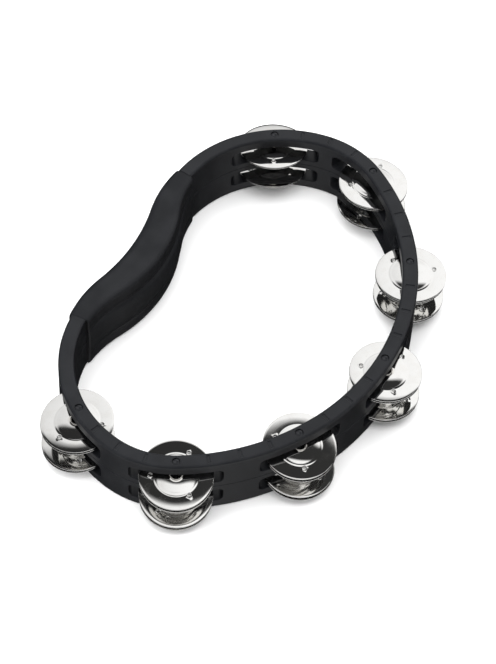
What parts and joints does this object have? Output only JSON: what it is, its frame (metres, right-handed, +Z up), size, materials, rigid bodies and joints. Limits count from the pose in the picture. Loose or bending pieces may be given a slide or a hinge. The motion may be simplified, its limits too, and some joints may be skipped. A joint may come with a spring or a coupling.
{
  "type": "tambourine",
  "caption": "Hand-held kidney-shaped tambourine: a closed moulded frame with two rows of paired steel jingles on pins and a soft hand grip.",
  "frame": {"origin": "on the surface that the tambourine rests on, at the middle of its box", "axes": "+X from the hand grip to the front jingles, +Y along the long way of the loop, +Z up, out of the upper rim"},
  "size_m": [0.2336, 0.3389, 0.0518],
  "materials": {
    "frame_plastic": "satin moulded ABS, near black with a cool tint",
    "grip_rubber": "satin soft-touch rubber, near black",
    "pin_steel": "black oxidised steel",
    "jingle_steel": "bright nickel-plated steel"
  },
  "bodies": {
    "frame": {"frame_upper_half": "frame_plastic", "frame_lower_half": "frame_plastic", "hand_grip": "grip_rubber", "jingle_pin_1": "pin_steel", "jingle_pin_2": "pin_steel", "jingle_pin_3": "pin_steel", "jingle_pin_4": "pin_steel", "jingle_pin_5": "pin_steel", "jingle_pin_6": "pin_steel", "jingle_pin_7": "pin_steel"},
    "jingle_1_upper_top_body": {"jingle_1_upper_top": "jingle_steel"},
    "jingle_1_upper_bottom_body": {"jingle_1_upper_bottom": "jingle_steel"},
    "jingle_1_lower_top_body": {"jingle_1_lower_top": "jingle_steel"},
    "jingle_1_lower_bottom_body": {"jingle_1_lower_bottom": "jingle_steel"},
    "jingle_2_upper_top_body": {"jingle_2_upper_top": "jingle_steel"},
    "jingle_2_upper_bottom_body": {"jingle_2_upper_bottom": "jingle_steel"},
    "jingle_2_lower_top_body": {"jingle_2_lower_top": "jingle_steel"},
    "jingle_2_lower_bottom_body": {"jingle_2_lower_bottom": "jingle_steel"},
    "jingle_3_upper_top_body": {"jingle_3_upper_top": "jingle_steel"},
    "jingle_3_upper_bottom_body": {"jingle_3_upper_bottom": "jingle_steel"},
    "jingle_3_lower_top_body": {"jingle_3_lower_top": "jingle_steel"},
    "jingle_3_lower_bottom_body": {"jingle_3_lower_bottom": "jingle_steel"},
    "jingle_4_upper_top_body": {"jingle_4_upper_top": "jingle_steel"},
    "jingle_4_upper_bottom_body": {"jingle_4_upper_bottom": "jingle_steel"},
    "jingle_4_lower_top_body": {"jingle_4_lower_top": "jingle_steel"},
    "jingle_4_lower_bottom_body": {"jingle_4_lower_bottom": "jingle_steel"},
    "jingle_5_upper_top_body": {"jingle_5_upper_top": "jingle_steel"},
    "jingle_5_upper_bottom_body": {"jingle_5_upper_bottom": "jingle_steel"},
    "jingle_5_lower_top_body": {"jingle_5_lower_top": "jingle_steel"},
    "jingle_5_lower_bottom_body": {"jingle_5_lower_bottom": "jingle_steel"},
    "jingle_6_upper_top_body": {"jingle_6_upper_top": "jingle_steel"},
    "jingle_6_upper_bottom_body": {"jingle_6_upper_bottom": "jingle_steel"},
    "jingle_6_lower_top_body": {"jingle_6_lower_top": "jingle_steel"},
    "jingle_6_lower_bottom_body": {"jingle_6_lower_bottom": "jingle_steel"},
    "jingle_7_upper_top_body": {"jingle_7_upper_top": "jingle_steel"},
    "jingle_7_upper_bottom_body": {"jingle_7_upper_bottom": "jingle_steel"},
    "jingle_7_lower_top_body": {"jingle_7_lower_top": "jingle_steel"},
    "jingle_7_lower_bottom_body": {"jingle_7_lower_bottom": "jingle_steel"}
  },
  "joints": [
    {"name": "jingle_1_upper_top_slide", "type": "slide", "parent": "frame", "child": "jingle_1_upper_top_body", "axis": [0, 0, 1], "range_m": [-0.0004, 0.0025]},
    {"name": "jingle_1_upper_bottom_slide", "type": "slide", "parent": "frame", "child": "jingle_1_upper_bottom_body", "axis": [0, 0, 1], "range_m": [-0.0004, 0.0004]},
    {"name": "jingle_1_lower_top_slide", "type": "slide", "parent": "frame", "child": "jingle_1_lower_top_body", "axis": [0, 0, 1], "range_m": [-0.0004, 0.0025]},
    {"name": "jingle_1_lower_bottom_slide", "type": "slide", "parent": "frame", "child": "jingle_1_lower_bottom_body", "axis": [0, 0, 1], "range_m": [-0.0004, 0.0004]},
    {"name": "jingle_2_upper_top_slide", "type": "slide", "parent": "frame", "child": "jingle_2_upper_top_body", "axis": [0, 0, 1], "range_m": [-0.0004, 0.0025]},
    {"name": "jingle_2_upper_bottom_slide", "type": "slide", "parent": "frame", "child": "jingle_2_upper_bottom_body", "axis": [0, 0, 1], "range_m": [-0.0004, 0.0004]},
    {"name": "jingle_2_lower_top_slide", "type": "slide", "parent": "frame", "child": "jingle_2_lower_top_body", "axis": [0, 0, 1], "range_m": [-0.0004, 0.0025]},
    {"name": "jingle_2_lower_bottom_slide", "type": "slide", "parent": "frame", "child": "jingle_2_lower_bottom_body", "axis": [0, 0, 1], "range_m": [-0.0004, 0.0004]},
    {"name": "jingle_3_upper_top_slide", "type": "slide", "parent": "frame", "child": "jingle_3_upper_top_body", "axis": [0, 0, 1], "range_m": [-0.0004, 0.0025]},
    {"name": "jingle_3_upper_bottom_slide", "type": "slide", "parent": "frame", "child": "jingle_3_upper_bottom_body", "axis": [0, 0, 1], "range_m": [-0.0004, 0.0004]},
    {"name": "jingle_3_lower_top_slide", "type": "slide", "parent": "frame", "child": "jingle_3_lower_top_body", "axis": [0, 0, 1], "range_m": [-0.0004, 0.0025]},
    {"name": "jingle_3_lower_bottom_slide", "type": "slide", "parent": "frame", "child": "jingle_3_lower_bottom_body", "axis": [0, 0, 1], "range_m": [-0.0004, 0.0004]},
    {"name": "jingle_4_upper_top_slide", "type": "slide", "parent": "frame", "child": "jingle_4_upper_top_body", "axis": [0, 0, 1], "range_m": [-0.0004, 0.0025]},
    {"name": "jingle_4_upper_bottom_slide", "type": "slide", "parent": "frame", "child": "jingle_4_upper_bottom_body", "axis": [0, 0, 1], "range_m": [-0.0004, 0.0004]},
    {"name": "jingle_4_lower_top_slide", "type": "slide", "parent": "frame", "child": "jingle_4_lower_top_body", "axis": [0, 0, 1], "range_m": [-0.0004, 0.0025]},
    {"name": "jingle_4_lower_bottom_slide", "type": "slide", "parent": "frame", "child": "jingle_4_lower_bottom_body", "axis": [0, 0, 1], "range_m": [-0.0004, 0.0004]},
    {"name": "jingle_5_upper_top_slide", "type": "slide", "parent": "frame", "child": "jingle_5_upper_top_body", "axis": [0, 0, 1], "range_m": [-0.0004, 0.0025]},
    {"name": "jingle_5_upper_bottom_slide", "type": "slide", "parent": "frame", "child": "jingle_5_upper_bottom_body", "axis": [0, 0, 1], "range_m": [-0.0004, 0.0004]},
    {"name": "jingle_5_lower_top_slide", "type": "slide", "parent": "frame", "child": "jingle_5_lower_top_body", "axis": [0, 0, 1], "range_m": [-0.0004, 0.0025]},
    {"name": "jingle_5_lower_bottom_slide", "type": "slide", "parent": "frame", "child": "jingle_5_lower_bottom_body", "axis": [0, 0, 1], "range_m": [-0.0004, 0.0004]},
    {"name": "jingle_6_upper_top_slide", "type": "slide", "parent": "frame", "child": "jingle_6_upper_top_body", "axis": [0, 0, 1], "range_m": [-0.0004, 0.0025]},
    {"name": "jingle_6_upper_bottom_slide", "type": "slide", "parent": "frame", "child": "jingle_6_upper_bottom_body", "axis": [0, 0, 1], "range_m": [-0.0004, 0.0004]},
    {"name": "jingle_6_lower_top_slide", "type": "slide", "parent": "frame", "child": "jingle_6_lower_top_body", "axis": [0, 0, 1], "range_m": [-0.0004, 0.0025]},
    {"name": "jingle_6_lower_bottom_slide", "type": "slide", "parent": "frame", "child": "jingle_6_lower_bottom_body", "axis": [0, 0, 1], "range_m": [-0.0004, 0.0004]},
    {"name": "jingle_7_upper_top_slide", "type": "slide", "parent": "frame", "child": "jingle_7_upper_top_body", "axis": [0, 0, 1], "range_m": [-0.0004, 0.0025]},
    {"name": "jingle_7_upper_bottom_slide", "type": "slide", "parent": "frame", "child": "jingle_7_upper_bottom_body", "axis": [0, 0, 1], "range_m": [-0.0004, 0.0004]},
    {"name": "jingle_7_lower_top_slide", "type": "slide", "parent": "frame", "child": "jingle_7_lower_top_body", "axis": [0, 0, 1], "range_m": [-0.0004, 0.0025]},
    {"name": "jingle_7_lower_bottom_slide", "type": "slide", "parent": "frame", "child": "jingle_7_lower_bottom_body", "axis": [0, 0, 1], "range_m": [-0.0004, 0.0004]}
  ]
}
